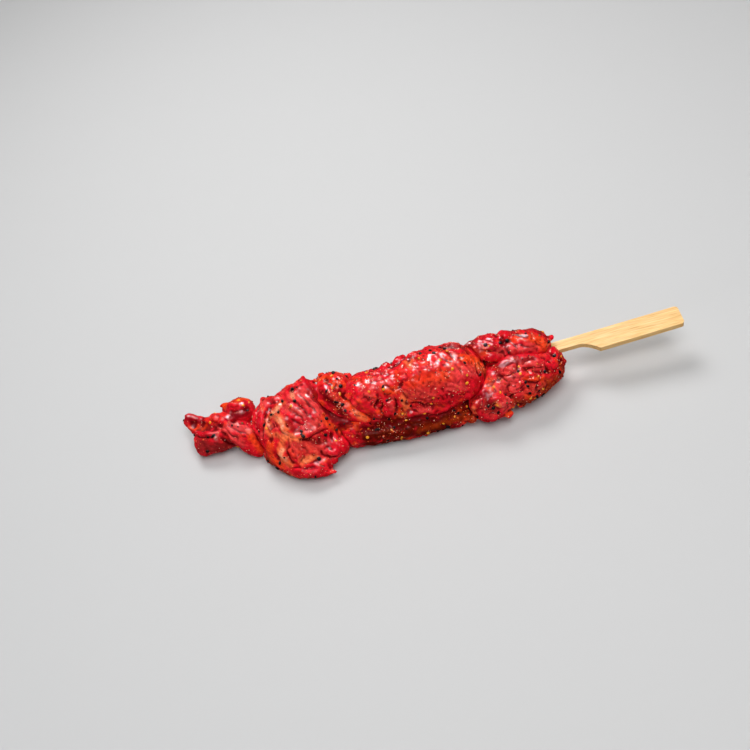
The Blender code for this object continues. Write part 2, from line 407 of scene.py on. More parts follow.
def sculpt(skin, strokes):
    """The heights that the strokes give, in mm. A crease or dent cuts in, a strand or swell stands up, and a lip stands up on the left of its line, as seen from the eye, and drops on its right."""
    tree = skin.tree()
    raised = np.zeros(len(skin.co))
    cut = np.zeros(len(skin.co))
    wavy = warped(skin.co, 0.9, 3.2, seed=21)
    uneven_width = 1 + 0.45 * noise(skin.co, 3.6, seed=25)
    uneven_height = np.clip(0.9 + 0.9 * noise(skin.co, 4.4, seed=26), 0.2, 1.5)
    for kind, width, height, points in strokes:
        line = laid(tree, points)
        index, far, which = near_line(wavy, line, 3 * width)
        t = far / (width * uneven_width[index])
        if kind == "lip":
            ahead = np.gradient(line, axis=0)
            ahead /= np.maximum(np.linalg.norm(ahead, axis=1)[:, None], 1e-9)
            left = np.cross(skin.normal[index], ahead[which])
            t = ((skin.co[index] - line[which]) * left).sum(1) / width
        got = DEPTH[kind] * height * uneven_height[index] * profile(kind, t)
        got *= tapered(which, len(line), 0.3)
        raised[index] = np.maximum(raised[index], got)
        cut[index] = np.minimum(cut[index], got)
    return skin.smooth(raised + cut, 3)


def painted(skin, tree, width, strength, points, rough):
    """From 0 to 1, how far a stroke covers each point, with an uneven edge."""
    cover = np.zeros(len(skin.co))
    index, far, _ = near_line(skin.co, laid(tree, points), 2.2 * width)
    t = np.maximum(far / width + 0.55 * rough[index], 0)
    cover[index] = strength * np.exp(-(t**3))
    return cover


# ---------------------------------------------------------------- the pieces of meat

# Colours of the meat and its marinade, linear, and the dark reds that are painted as shade
CRIMSON = np.array([0.66, 0.006, 0.016])
# Painted shade: a very dark red laid in creases, gaps and hollows
PAINTED_SHADE = np.array([0.15, 0.002, 0.004])
PINK = np.array([0.78, 0.058, 0.055])
ORANGE = np.array([0.86, 0.062, 0.009])
# Dark brown of the marinated lower layer, made darker still as painted shade under the overhang
BROWN_AND_SHADE = np.array([0.085, 0.0035, 0.0005])
CREAM = np.array([0.88, 0.32, 0.17])
SCARLET = np.array([0.84, 0.022, 0.015])
# Dark maroon of the meat, also laid as painted shade in crevices, undersides and behind other pieces
MAROON_AND_SHADE = np.array([0.26, 0.012, 0.012])
FLESH = np.array([0.66, 0.045, 0.036])
AMBER = np.array([0.88, 0.16, 0.050])
RUST = np.array([0.34, 0.030, 0.004])

# Grain direction; heights in mm of fibre, lumps, cells and grit; shares of pink and orange; gloss
MEAT = {
    "tail_piece": ((0.75, -0.65, 0.00), 0.18, 0.50, 0.10, 0.06, 0.30, 0.15, 0.90),
    "chip_piece": ((0.60, 0.50, -0.30), 0.12, 0.35, 0.10, 0.07, 0.15, 0.35, 1.00),
    "slab_piece": ((0.42, -0.85, -0.25), 0.20, 0.60, 0.10, 0.08, 0.40, 0.30, 0.60),
    "strip_piece": ((0.52, -0.82, -0.20), 0.14, 0.50, 0.15, 0.13, 0.10, 0.60, 0.90),
    "long_piece": ((0.60, -0.75, -0.25), 0.18, 0.75, 0.20, 0.12, 0.08, 0.50, 1.00),
    "end_back_piece": ((0.87, -0.48, 0.00), 0.14, 0.80, 0.25, 0.11, 0.30, 0.35, 1.00),
    "end_front_piece": ((0.93, -0.35, 0.00), 0.15, 0.80, 0.30, 0.10, 0.35, 0.25, 0.80),
}

# Forms of each piece, drawn on the board's plane: kind, half width and height in mm, then the line's (x, y)
FORMS = {
    "tail_piece": [
        ("dent", 2.6, 1.5, [(-118.5, 21), (-116, 18.5), (-112.5, 17), (-109.5, 17.5)]),
        ("lip", 1.6, 1.3, [(-117, 12), (-114, 10), (-111, 8.6), (-108, 7.8), (-104.5, 8.2)]),
        ("strand", 1.2, 0.8, [(-121, 22), (-120, 17), (-117.5, 13)]),
        ("strand", 2.6, 1.2, [(-107.5, 19), (-103, 19)]),
        ("strand", 1.5, 0.8, [(-103, 16), (-100.5, 15)]),
        ("strand", 1.1, 0.9, [(-105, 12), (-101, 9.5), (-97.5, 5), (-94, 0), (-91.5, -3.5)]),
        ("strand", 1.2, 1.0, [(-101, 12.5), (-98, 9), (-94.5, 5), (-91.5, 1), (-88.5, -3)]),
        ("strand", 1.4, 0.9, [(-97, 11.5), (-93, 9), (-89, 6.5), (-86.5, 2), (-85, -3)]),
        ("strand", 0.8, 0.6, [(-95, 13), (-91, 11.5), (-87.5, 9)]),
        ("crease", 0.9, 1.7, [(-104, 8), (-101, 4), (-97.5, 0), (-95, -3)]),
        ("strand", 0.9, 0.6, [(-108, 4.5), (-103, 3), (-99, 0.5), (-96, -2)]),
        ("crease", 0.9, 1.1, [(-99, 17.5), (-97, 14), (-93, 14), (-89, 14.5)]),
    ],
    "chip_piece": [
        ("strand", 1.3, 0.8, [(-100, 23), (-95.5, 23.7), (-91, 23.2), (-87, 22)]),
        ("crease", 0.8, 1.0, [(-98, 19.5), (-94, 18.3), (-90, 18.6), (-87, 19)]),
    ],
    "slab_piece": [
        ("strand", 1.5, 1.3, [(-83, 21), (-84.5, 16), (-85.5, 10), (-85.5, 4), (-84.5, -1)]),
        ("strand", 1.3, 1.1, [(-79.5, 17.5), (-81.8, 12), (-83, 7), (-82.5, 2)]),
        ("strand", 1.2, 0.9, [(-88, 17), (-88.3, 11), (-87.5, 5)]),
        ("crease", 0.9, 1.6, [(-77, 16.5), (-80, 11.5), (-81.5, 6), (-82, 0), (-81.5, -5)]),
        ("strand", 2.4, 1.3, [(-83, 22.5), (-80.5, 20.7)]),
        ("strand", 1.5, 1.0, [(-78, 21), (-74, 20.7), (-71, 20.7)]),
        ("swell", 1.5, 0.8, [(-71.5, 17.5), (-75.5, 14), (-78.5, 9.5), (-79.5, 5), (-78.5, 1), (-75, -0.5)]),
        ("swell", 1.9, 1.0, [(-75, 10.5), (-73, 7), (-72, 3), (-71.5, -1), (-72.5, -6), (-74, -11), (-73, -15), (-70, -19)]),
        ("dent", 1.8, 0.8, [(-76.5, 8), (-76, 3)]),
        ("strand", 1.4, 0.9, [(-65, 20), (-61, 14), (-57, 7.5), (-54, 2)]),
        ("strand", 1.5, 1.0, [(-62, 22.5), (-58, 15.5), (-54, 8.5), (-51, 2)]),
        ("strand", 1.2, 0.9, [(-59, 24.5), (-55.5, 17.5), (-52, 10), (-49.5, 4)]),
        ("strand", 1.4, 0.8, [(-68, 16), (-64, 11), (-60, 5), (-57, 1)]),
        ("crease", 0.8, 1.7, [(-70.5, 9.5), (-67, 6), (-63, 2.5), (-60.5, 1)]),
        ("crease", 0.6, 1.2, [(-64.5, 16.5), (-61.5, 11), (-58, 5.5)]),
        ("crease", 0.7, 1.4, [(-57, 21.5), (-53.5, 14), (-50.5, 7)]),
        ("crease", 0.8, 1.2, [(-71, 6), (-69.5, 2), (-67.5, -1)]),
        ("lip", 1.4, 1.3, [(-69, -2.5), (-65, -5), (-61, -5.5), (-57, -4), (-53, -3), (-50, -3)]),
        ("crease", 0.8, 1.1, [(-70, -5), (-71, -10), (-70.5, -15), (-67.5, -18)]),
        ("strand", 1.5, 0.9, [(-66, -19.5), (-62, -18), (-58.5, -17)]),
        ("crease", 0.6, 0.8, [(-66, -9), (-62, -11.5), (-57.5, -11)]),
        ("crease", 0.8, 1.2, [(-70, -20.3), (-65.5, -22), (-61, -22.5), (-56.5, -23.5)]),
        ("strand", 1.9, 1.2, [(-69, -23), (-64.5, -25), (-59.5, -26), (-54.5, -26.5)]),
        ("strand", 1.4, 1.1, [(-54, -14.5), (-51, -17.5)]),
        ("strand", 1.2, 1.0, [(-55, -20), (-51.5, -22)]),
        ("crease", 0.7, 1.2, [(-57, -12), (-54.5, -17), (-52, -19.5)]),
        ("crease", 0.6, 1.0, [(-59, -20), (-56, -22.3), (-53, -24)]),
        ("crease", 0.8, 1.2, [(-50, -4), (-49.5, -9), (-49.5, -14)]),
    ],
    "strip_piece": [
        ("crease", 0.8, 1.2, [(-50, 26), (-47.5, 23), (-45.5, 20.5)]),
        ("strand", 1.3, 0.8, [(-49, 27.8), (-46, 26.3), (-43.5, 23)]),
        ("strand", 2.7, 1.1, [(-36.8, 22.5), (-35.8, 18.5)]),
        ("crease", 0.8, 1.3, [(-33, 24.5), (-33.2, 20), (-35.5, 16), (-38.5, 14)]),
        ("dent", 1.0, 1.2, [(-41, 13)]),
        ("strand", 1.7, 0.9, [(-48.5, 18), (-46, 13.5), (-43.5, 9)]),
        ("strand", 1.9, 1.1, [(-41, 5), (-38.5, 0), (-35.5, -3.5), (-32.5, -5.5)]),
        ("strand", 1.2, 0.8, [(-37.5, 4.5), (-35.5, 0.5), (-33, -2)]),
        ("crease", 0.7, 1.1, [(-36.5, 9.5), (-34.5, 5.5), (-31.5, -1)]),
        ("crease", 0.7, 1.0, [(-44, 25), (-41, 22.5), (-40.5, 19)]),
    ],
    "long_piece": [
        ("strand", 2.9, 1.5, [(-31.5, 10), (-29.5, 4)]),
        ("crease", 0.9, 1.9, [(-26, 10.5), (-26.3, 5.5), (-27.5, 0)]),
        ("strand", 0.9, 0.8, [(-25, 9), (-25.3, 4.5), (-26, 0)]),
        ("crease", 0.8, 1.6, [(-24, 8), (-24.3, 3), (-25, -2)]),
        ("strand", 2.9, 1.5, [(-21, 5), (-21.8, 0), (-22, -2)]),
        ("crease", 0.9, 1.5, [(-18, 6), (-17.6, 1), (-17.8, -4)]),
        ("strand", 2.0, 0.9, [(-15, 5), (-14.3, -2)]),
        ("crease", 0.8, 1.5, [(-12, 0), (-8.5, -1), (-5, -2.5), (-2.5, -4)]),
        ("crease", 0.6, 1.0, [(-11, -2.5), (-8.5, -5.5)]),
        ("strand", 1.6, 0.8, [(-9.5, -4), (-5, -5.5), (-1.5, -6.5)]),
        ("lip", 1.6, 1.2, [(-29.5, -1.5), (-26, -3.8), (-22, -5), (-18.5, -4.6)]),
        ("lip", 1.3, 0.6, [(-15.5, -6), (-11.5, -7.5), (-7, -7.6)]),
        ("lip", 1.7, 0.9, [(-4, -8.2), (0.5, -9.2), (5, -8.3), (8.5, -7.2)]),
        ("lip", 1.3, 0.7, [(12, -7), (15.5, -5), (18.5, -3.6), (23, -2)]),
        ("swell", 2.2, 1.1, [(-24, -8), (-17, -8.6), (-10, -10.3), (-3, -11.3), (4, -11)]),
        ("crease", 0.9, 1.5, [(8, 29), (11.5, 25.8), (15, 22), (19, 20.3), (23, 18.5)]),
        ("crease", 0.8, 1.2, [(23.5, 18), (24, 14), (23.8, 9.5), (24, 5)]),
        ("strand", 1.6, 0.9, [(26.5, 14.5), (27, 10.5), (27, 6.5)]),
        ("crease", 0.5, 0.7, [(2, 5.5), (3.5, 1), (5, -3.5)]),
        ("crease", 0.5, 0.7, [(4.5, 6), (5.5, 2), (6.8, -2.5)]),
        ("crease", 0.5, 0.6, [(7, 5.5), (8, 2), (9, -1.5)]),
        ("crease", 0.5, 0.6, [(10, 6), (11.5, 3), (13, 0)]),
        ("crease", 0.8, 1.1, [(-31, 23.5), (-26, 21.7), (-22, 21.3), (-17, 22.3)]),
        ("dent", 2.4, 1.0, [(-16, 14), (-14, 9.5)]),
        ("dent", 1.6, 0.9, [(-10, 15.5)]),
        ("strand", 1.4, 0.7, [(-24, 12.5), (-20, 10.8), (-16.5, 11)]),
        ("swell", 3.4, 1.9, [(-30, -8), (-22, -9.5), (-13, -11.5), (-4, -12.5), (5, -12), (13, -9)]),
        ("crease", 0.7, 0.8, [(-28, -15), (-24, -13.5), (-20, -14.5)]),
        ("crease", 0.7, 0.8, [(-12, -13), (-8, -15.5), (-3, -15.5)]),
        ("dent", 1.8, 0.9, [(-1, -16), (3, -15)]),
        ("strand", 1.8, 1.0, [(12.5, -13), (14.5, -15.5)]),
    ],
    "end_back_piece": [
        ("lip", 1.5, 1.5, [(26, 16), (30, 13.7), (35, 12.2), (40, 11.3)]),
        ("crease", 1.0, 0.9, [(40, 28.5), (38.7, 24), (39.5, 19.5), (40.3, 15.5), (40.5, 12)]),
        ("strand", 2.1, 1.2, [(27, 18), (31, 16.5), (36, 15), (39, 14.5)]),
        ("strand", 2.1, 1.2, [(42, 16.5), (47, 15.3), (52, 14), (56, 12.5)]),
        ("crease", 0.8, 1.2, [(27, 21.5), (31, 20.3), (35, 18.8), (38, 18)]),
        ("strand", 1.7, 0.9, [(30, 23.5), (33.5, 22.5), (36.5, 21.5)]),
        ("crease", 0.8, 1.1, [(42.5, 20), (46, 19), (50, 17.5)]),
        ("strand", 2.2, 0.9, [(43, 23), (48, 21.5), (52, 20)]),
        ("crease", 0.8, 1.1, [(54, 20), (54.5, 16.5), (55, 12.5)]),
        ("strand", 1.6, 0.9, [(57, 19), (57.5, 14.5)]),
        ("crease", 0.8, 1.2, [(43, 26.5), (48, 25.5), (54, 22.5)]),
        ("lip", 1.3, 1.3, [(41.5, 13), (46, 12.3), (51, 11.3), (56, 10)]),
    ],
    "end_front_piece": [
        ("strand", 1.9, 1.3, [(34.5, 6.8), (38, 6.6), (41, 6.2)]),
        ("crease", 0.8, 1.4, [(33, 4.5), (36.5, 3.8), (40.5, 4), (42.3, 3)]),
        ("crease", 0.8, 1.4, [(42, 9.5), (41.8, 6.5), (42.5, 3)]),
        ("strand", 2.0, 1.1, [(44, 7.5), (48, 6.8), (52.5, 6.2)]),
        ("crease", 0.7, 1.3, [(43, 5.3), (46.5, 4.6), (50, 3.8), (53.5, 3.4)]),
        ("strand", 1.8, 1.0, [(44, 3), (48, 1.8), (51.5, 1.2)]),
        ("crease", 0.8, 1.4, [(42.5, 1), (46, -0.2), (50, -0.8), (53, -0.3)]),
        ("strand", 1.3, 1.1, [(43.5, -1.3), (47, -1.9), (51, -3.2)]),
        ("crease", 0.9, 1.5, [(43.5, -3.4), (47, -4), (50.5, -5.2)]),
        ("dent", 2.2, 1.0, [(45.5, -7), (48.5, -7.5)]),
        ("crease", 0.8, 1.1, [(40.5, -8), (44, -10), (48.5, -10.3)]),
        ("strand", 1.2, 0.9, [(35.5, 1.8), (39, 0.8)]),
        ("strand", 1.1, 0.9, [(37, -3.8), (40, -3), (42.5, -1.5)]),
        ("strand", 2.6, 1.0, [(31, 1), (34, -2.5)]),
        ("crease", 0.8, 1.3, [(29.5, 2), (30.5, -2), (30.5, -6), (33, -8)]),
        ("crease", 0.8, 1.2, [(33, -8), (37, -7.5), (41, -6.5)]),
        ("strand", 1.6, 1.0, [(35, -5.7), (38.5, -5.4)]),
        ("crease", 0.8, 1.4, [(55, 9), (54.5, 5), (54.8, 1), (56, -2)]),
        ("strand", 1.4, 1.1, [(56.3, 6), (56.5, 2.5)]),
        ("strand", 1.5, 1.2, [(59.5, 8), (59, 4), (58.5, 0)]),
        ("crease", 0.8, 1.2, [(61.5, 7), (61, 3), (60, 0)]),
        ("strand", 1.4, 0.8, [(20, -7), (24, -8.5), (28, -8), (31, -6)]),
        ("crease", 0.7, 0.9, [(24, -10), (28, -11), (31, -14)]),
        ("crease", 0.8, 1.3, [(34.5, -14.5), (33.5, -11.5), (32.5, -9)]),
        ("crease", 0.7, 0.9, [(21, -13.5), (24.5, -13), (28, -15)]),
        ("strand", 1.9, 0.9, [(22, -17.5), (27, -18.5)]),
        ("crease", 0.8, 1.1, [(52, -3), (52, -7), (51, -11)]),
        ("crease", 0.7, 0.9, [(56.5, -4), (56, -8)]),
        ("strand", 1.4, 0.9, [(15, -14), (15, -17)]),
    ],
}

# Colours laid over each piece, in order: colour, half width in mm, strength, then the line's (x, y). The dark strokes
# paint shade into creases, gaps and undersides.
PAINT = {
    "tail_piece": [
        (PAINTED_SHADE, 1.9, 0.7, [(-119.5, 22), (-116, 19), (-112, 17.5), (-109, 18)]),
        (ORANGE, 1.7, 0.75, [(-117, 15), (-113, 13.5), (-109, 13.5)]),
        (PINK, 1.3, 0.7, [(-120.5, 19), (-119, 15), (-117, 12)]),
        (CRIMSON, 2.0, 0.95, [(-116, 11), (-112, 9.3), (-108, 8.6), (-104.5, 9.3)]),
        (SCARLET, 3.2, 0.9, [(-107, 18.5), (-102, 18.5)]),
        (MAROON_AND_SHADE, 4.4, 0.95, [(-112, 4), (-108, 1), (-102, 0), (-98, 1)]),
        (PINK, 1.8, 0.75, [(-103, 12), (-99, 8), (-95, 3), (-92, -1)]),
        (PINK, 2.1, 0.85, [(-96, 10.5), (-92, 8), (-88.5, 6)]),
        (ORANGE, 1.6, 0.75, [(-88.5, 4), (-86.5, 0), (-84.5, -5), (-83.5, -8)]),
        (CRIMSON, 2.0, 0.9, [(-92, -4.5), (-89, -7), (-86, -8.5)]),
        (PAINTED_SHADE, 1.6, 0.7, [(-97.5, 15.5), (-94, 14.5), (-90.5, 15)]),
    ],
    "chip_piece": [
        (ORANGE, 2.2, 0.95, [(-99, 24.5), (-95.5, 26), (-91, 26), (-87.5, 24.5)]),
        (CRIMSON, 1.9, 0.95, [(-97.5, 21), (-93.5, 20.5), (-89.5, 20.5)]),
        (PAINTED_SHADE, 2.0, 0.85, [(-97, 17.5), (-92.5, 16.5), (-88.5, 18)]),
    ],
    "slab_piece": [
        (CRIMSON, 3.4, 0.85, [(-84.5, 16), (-86, 9), (-86, 2), (-84, -4)]),
        (PINK, 2.4, 0.85, [(-83.5, 22), (-80, 20.5)]),
        (PINK, 1.7, 0.6, [(-76, 21.5), (-72, 21)]),
        (FLESH, 4.4, 0.85, [(-67, -9), (-62, -11), (-57, -11)]),
        (FLESH, 3.6, 0.75, [(-60, 0), (-56, 0.5), (-53, 4)]),
        (PINK, 2.3, 0.85, [(-66.5, 20.5), (-64, 15), (-60.5, 10)]),
        (PINK, 2.5, 0.85, [(-61, 20), (-57.5, 14), (-54, 7.5)]),
        (FLESH, 2.1, 0.85, [(-69, 13.5), (-66, 11), (-63, 9)]),
        (CRIMSON, 1.4, 0.95, [(-68, 9.7), (-64.5, 5.7), (-61.5, 2.5)]),
        (CRIMSON, 1.3, 0.9, [(-66, 17.5), (-62, 12), (-58.5, 6)]),
        (PAINTED_SHADE, 1.9, 0.7, [(-56.5, 22), (-53, 14), (-50, 6), (-47.5, 0)]),
        (PAINTED_SHADE, 2.8, 0.95, [(-50, 9), (-47, 3), (-44, -2), (-40, -5)]),
        (MAROON_AND_SHADE, 1.5, 0.6, [(-70, 6.5), (-68, 2.5), (-66.5, 0)]),
        (PINK, 1.7, 0.8, [(-76.5, 7.5), (-75, 3.5)]),
        (ORANGE, 1.9, 0.75, [(-78.5, -4), (-79.5, -9), (-77.5, -14), (-74, -18)]),
        (ORANGE, 1.6, 0.7, [(-52, 3), (-50, -1.5), (-47, -5), (-43, -8)]),
        (ORANGE, 1.7, 0.85, [(-41, -7), (-38, -8), (-36, -8)]),
        (AMBER, 1.5, 0.7, [(-71.5, 17.5), (-75, 14.5), (-78, 10), (-79.3, 5.5), (-78.5, 1.2), (-75, -0.8)]),
        (AMBER, 1.8, 0.75, [(-74.5, 10.5), (-72.5, 6), (-71.5, 1), (-72.5, -4.5), (-74.5, -9.5), (-74, -14), (-70.5, -18.5)]),
        (CREAM, 0.9, 0.8, [(-72.5, 16.5), (-75.5, 13.5), (-77.5, 11)]),
        (CREAM, 0.9, 0.8, [(-75, 10.5), (-73, 7), (-72.2, 3)]),
        (CREAM, 1.0, 0.85, [(-73.5, -9.5), (-74.5, -12.5), (-72.5, -15)]),
        (CREAM, 0.9, 0.7, [(-72, 0), (-69.5, -2.5), (-67, -4)]),
        (CREAM, 1.0, 0.7, [(-64, -18), (-60.5, -17)]),
        (CREAM, 0.8, 0.8, [(-66.3, 23), (-65.5, 19)]),
        (AMBER, 1.6, 0.85, [(-70, -2.7), (-67, -4.6), (-63.5, -5.2)]),
        (AMBER, 1.7, 0.8, [(-65, -18.3), (-61.5, -17.3), (-59, -17)]),
        (CRIMSON, 2.3, 0.95, [(-69, -22.5), (-64, -24.7), (-59, -25.7), (-54, -26)]),
        (RUST, 1.9, 0.9, [(-81, -12), (-76, -20), (-71, -24), (-66, -27.5), (-61, -29)]),
        (CRIMSON, 2.2, 0.9, [(-45, -11), (-43.5, -14.5)]),
    ],
    "strip_piece": [
        (SCARLET, 3.2, 0.6, [(-50, 27), (-44, 26), (-38, 26)]),
        (PINK, 2.6, 0.75, [(-37.5, 22), (-35.5, 19)]),
        (CRIMSON, 1.9, 0.9, [(-33.3, 24), (-33.5, 20), (-36, 15.5)]),
        (FLESH, 2.1, 0.75, [(-48, 17), (-45.5, 13.5), (-43, 10.5)]),
        (PAINTED_SHADE, 1.8, 0.95, [(-51.5, 18), (-48.5, 13.5), (-45.5, 8.5), (-43.5, 3.5), (-40, -1.5)]),
        (PAINTED_SHADE, 2.0, 0.8, [(-44, 0), (-40, -4), (-36, -7)]),
        (ORANGE, 2.2, 0.9, [(-39.5, 11), (-38.5, 6.5), (-37.5, 3)]),
        (CRIMSON, 1.9, 0.95, [(-40.5, 0), (-37, -4), (-33, -6.5)]),
        (AMBER, 1.2, 0.9, [(-37, 2.5), (-35.5, 0), (-33, -2.5)]),
        (ORANGE, 1.2, 0.8, [(-52, 26.5), (-49, 27), (-46, 27)]),
        (MAROON_AND_SHADE, 1.3, 0.8, [(-37, 9.5), (-34, 4.5), (-31, -1)]),
    ],
    "long_piece": [
        (SCARLET, 4.6, 0.6, [(-30, 20), (-22, 17), (-12, 19), (-2, 24), (8, 24)]),
        (CRIMSON, 3.0, 0.5, [(-30, 24), (-24, 20), (-18, 17)]),
        # Painted highlight: a lighter pink patch in the roll's centre, where the light catches it
        (PINK, 4.0, 0.5, [(4, 8), (12, 7)]),
        (ORANGE, 4.0, 0.55, [(-8, 11), (0, 12), (8, 12)]),
        (AMBER, 1.6, 0.9, [(-7.3, 25), (-6.8, 22.5)]),
        (PINK, 2.5, 0.7, [(-26, 15.5), (-22, 14.5)]),
        (PINK, 2.4, 0.75, [(-31, 10.5), (-28.5, 7)]),
        (CRIMSON, 2.2, 0.9, [(-31.5, 6.5), (-29, 2.5)]),
        (FLESH, 3.8, 0.8, [(-10, 4), (-5, 4.5), (-2, 2)]),
        (ORANGE, 2.1, 0.8, [(-21.5, 11.5), (-17, 9.5)]),
        (CRIMSON, 2.2, 0.85, [(-22.5, 3), (-22.5, -2), (-20, -3)]),
        (PINK, 1.5, 0.6, [(-20.5, 3.5), (-19, 0)]),
        (AMBER, 1.6, 0.9, [(-13.5, 4.5), (-13, 1), (-13.5, -1.5)]),
        (AMBER, 1.0, 0.9, [(-16.5, -5), (-14.5, -5)]),
        (CRIMSON, 1.7, 0.9, [(-9.5, -0.5), (-6, -2), (-3.5, -3)]),
        (PINK, 1.9, 0.7, [(-8, -5), (-3, -5.5)]),
        (PINK, 3.8, 0.8, [(14.5, 13.5), (18.5, 11), (22, 10)]),
        (ORANGE, 2.3, 0.85, [(17.5, 20), (22, 18), (25, 15)]),
        (AMBER, 1.7, 0.8, [(24.5, 13), (26, 9.5), (26, 6.5)]),
        (CRIMSON, 3.6, 0.95, [(15, 3), (20, 3.5), (25, 3)]),
        (CRIMSON, 3.4, 0.9, [(4, -3.5), (9, -2), (14, -1), (19, -1)]),
        (PINK, 2.0, 0.7, [(9, 4.5), (12.5, 3.5), (15.5, 2.5)]),
        (PAINTED_SHADE, 1.3, 0.6, [(9, 29), (14, 29.5), (18.5, 27), (21, 23)]),
        # The lower layer: dark brown with painted shade under the roll's overhang
        (BROWN_AND_SHADE, 3.8, 0.97, [(-28, -7.5), (-20, -8.5), (-12, -10.8), (-4, -12.7), (3, -13), (10, -11.8), (16, -8), (22, -5)]),
        (BROWN_AND_SHADE, 4.6, 0.97, [(-34, -12), (-26, -14), (-16, -16), (-6, -17), (2, -17.5)]),
        (BROWN_AND_SHADE, 3.4, 0.95, [(-34, -17), (-26, -20), (-18, -21)]),
        (RUST, 1.6, 0.7, [(-10, -16), (0, -15), (8, -14)]),
        (RUST, 1.6, 0.8, [(12.5, -13), (14.5, -16)]),
    ],
    "end_back_piece": [
        (MAROON_AND_SHADE, 2.8, 0.9, [(20.5, 27), (24, 27.5)]),
        (MAROON_AND_SHADE, 2.6, 0.6, [(22.5, 23.5), (26, 21)]),
        (MAROON_AND_SHADE, 2.8, 0.45, [(26, 22), (31, 20), (35, 19.5)]),
        (CRIMSON, 1.9, 0.95, [(27, 15.5), (31, 13.8), (36, 12.6), (40, 12)]),
        (PAINTED_SHADE, 1.1, 0.85, [(40, 28), (38.5, 23), (39.8, 18.5), (40.5, 14.5)]),
        (PINK, 2.2, 0.7, [(42.5, 17.5), (47, 16.5), (52, 15)]),
        (CRIMSON, 1.9, 0.95, [(41.5, 14), (46, 13.2), (51, 12.2), (56, 11)]),
        (ORANGE, 2.6, 0.8, [(52, 22), (56, 19), (57.5, 15)]),
        (ORANGE, 1.9, 0.65, [(43, 23.5), (48, 24.5)]),
        (CRIMSON, 2.1, 0.8, [(41, 28), (45, 28.5)]),
        (MAROON_AND_SHADE, 3.2, 0.9, [(46, 31), (52, 30), (57, 27), (60, 23)]),
    ],
    "end_front_piece": [
        (PINK, 2.0, 0.85, [(34, 6.5), (37.5, 6.5), (41, 6)]),
        (PINK, 2.8, 0.6, [(43.5, 6.5), (48, 5), (52, 4)]),
        (PINK, 2.3, 0.75, [(45, 9), (50, 8.5)]),
        (PINK, 3.8, 0.85, [(30.5, 1.5), (33.5, -2), (37, -3)]),
        (PINK, 2.1, 0.75, [(37, 1), (41, 1)]),
        (FLESH, 2.6, 0.85, [(44, -6.5), (47, -7), (49.5, -7.5)]),
        (ORANGE, 1.3, 0.85, [(43.5, -1), (47, -1.5), (50.5, -3)]),
        (ORANGE, 1.9, 0.9, [(42, -11), (46, -12.5), (50, -12.5)]),
        (RUST, 4.0, 0.95, [(51, -8.5), (55, -6.5), (58.5, -3), (60.5, 0)]),
        (RUST, 2.8, 0.95, [(37, -12), (41, -14), (47, -15.8), (52, -14)]),
        (CRIMSON, 2.1, 0.9, [(56.5, 6.5), (57, 2.5), (58.5, -0.5)]),
        (PAINTED_SHADE, 1.7, 0.9, [(62, 4.5), (63, 2.5)]),
        (FLESH, 2.8, 0.85, [(22.5, -11.5), (25, -15)]),
        (MAROON_AND_SHADE, 3.2, 0.55, [(20, -10), (24, -12), (28, -12)]),
        (PINK, 2.3, 0.8, [(29.5, -11.5), (31.5, -14)]),
        (CRIMSON, 2.2, 0.9, [(20, -17), (24.5, -18.7), (28.5, -18.2)]),
        (ORANGE, 1.3, 0.9, [(33.5, -15.5), (30.5, -18.5)]),
        (ORANGE, 1.9, 0.8, [(27.5, 2.5), (27, -1.5)]),
        (AMBER, 1.2, 0.9, [(27.5, -10.5), (28, -12.5)]),
        (AMBER, 1.3, 0.6, [(16.5, -10), (17, -12.5)]),
        (PAINTED_SHADE, 2.1, 0.8, [(20, -5), (24, -4.5), (24, -8)]),
        (PAINTED_SHADE, 1.3, 0.8, [(33, 9.5), (38, 10), (43, 10.5), (50, 10)]),
        (RUST, 2.0, 0.8, [(14, -14), (15, -17.5)]),
    ],
}

